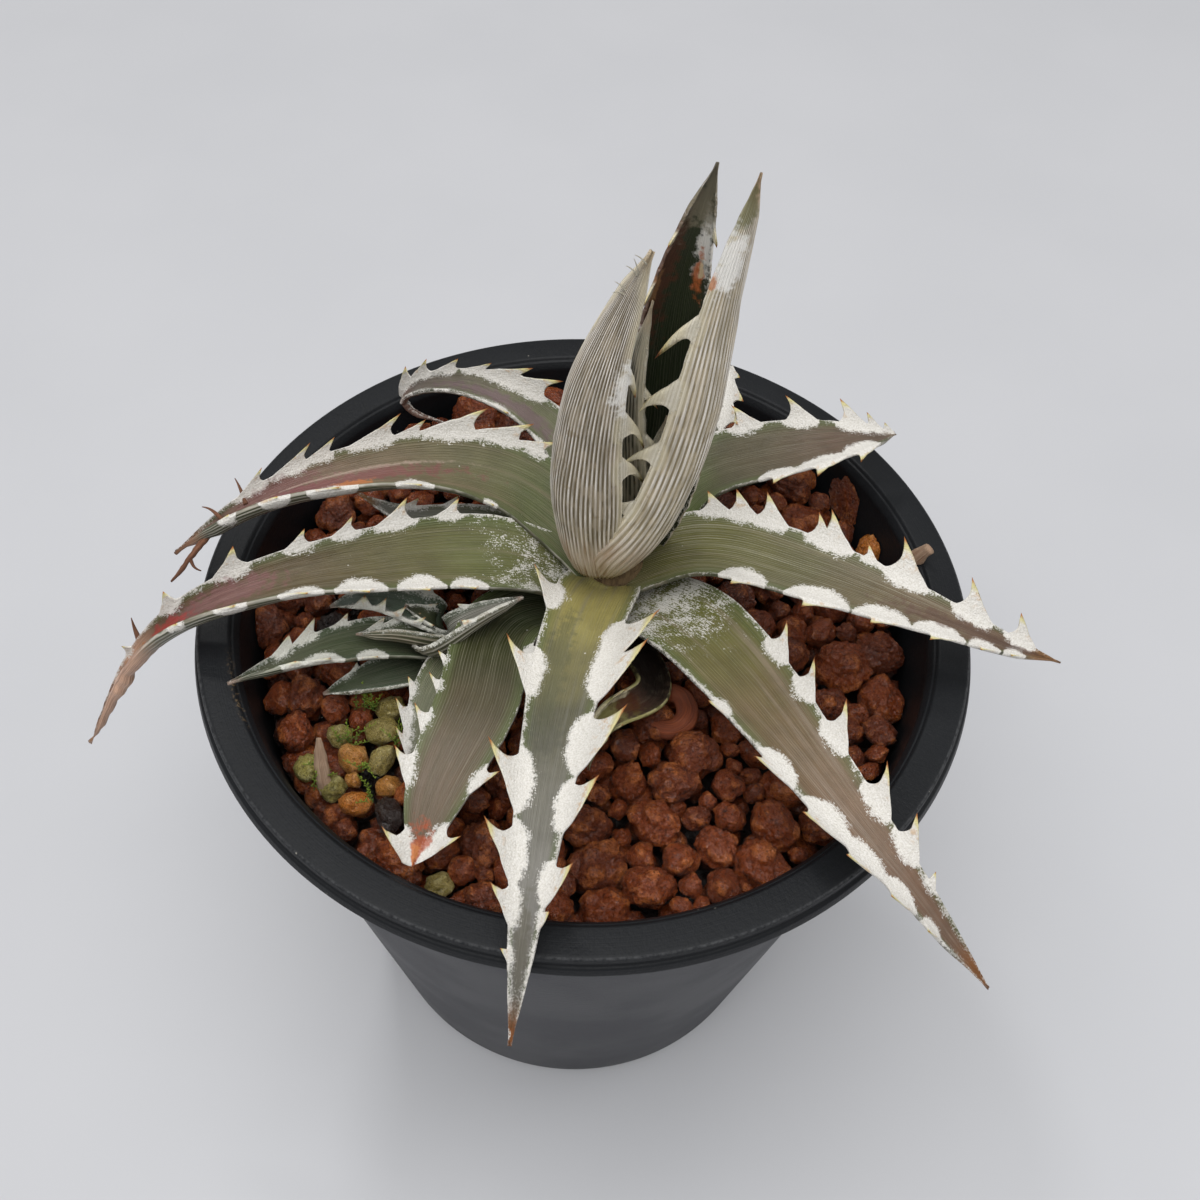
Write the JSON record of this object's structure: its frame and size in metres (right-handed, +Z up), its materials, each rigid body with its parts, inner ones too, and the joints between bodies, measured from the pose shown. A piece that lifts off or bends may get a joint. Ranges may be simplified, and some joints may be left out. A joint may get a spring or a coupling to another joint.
{
  "type": "potted dyckia bromeliad",
  "caption": "Spiny rosette succulent with an erect heart of furled leaves and a small offset, growing in a round tapered nursery pot filled with clay granules.",
  "frame": {"origin": "centre of the pot's flat base, on the surface that it stands on", "axes": "+Z up out of the pot; -Y is the front, where the two front leaves hang over the rim; +X is to the right seen from the front"},
  "size_m": [0.1304, 0.1146, 0.1527],
  "materials": {
    "pot": "near-black moulded plastic with fine turned lines, satin",
    "soil": "damp red-brown fired clay granules",
    "stem": "dry fibrous short stem",
    "column_leaf": "silvery scurf over fine brown and yellow lengthwise stripes",
    "leaf": "leathery olive to purple-brown with white scurfy toothed margins",
    "offset_leaf": "dark green with white scurf",
    "dry_leaf": "dry straw-coloured leaf",
    "bark": "weathered bark sliver"
  },
  "bodies": {
    "root": {"pot": "pot", "soil": "soil", "stem": "stem", "offset_stem": "stem", "column_right": "column_leaf", "column_left": "column_leaf", "column_back": "column_leaf", "column_inner_left": "column_leaf", "column_inner_front": "column_leaf", "leaf_left_upper": "leaf", "leaf_right": "leaf", "leaf_back_right": "leaf", "leaf_back_left": "leaf", "leaf_front": "leaf", "leaf_left_lower": "leaf", "leaf_front_right": "leaf", "leaf_left_middle": "leaf", "leaf_back": "leaf", "leaf_front_left": "leaf", "leaf_front_left_under": "leaf", "leaf_dry_front": "dry_leaf", "offset_leaf_heart": "offset_leaf", "offset_leaf_inner_back": "offset_leaf", "offset_leaf_inner_front": "offset_leaf", "offset_leaf_right": "offset_leaf", "offset_leaf_left": "offset_leaf", "offset_leaf_under": "offset_leaf", "bark_chip": "bark", "bark_splinter": "bark"}
  },
  "joints": []
}
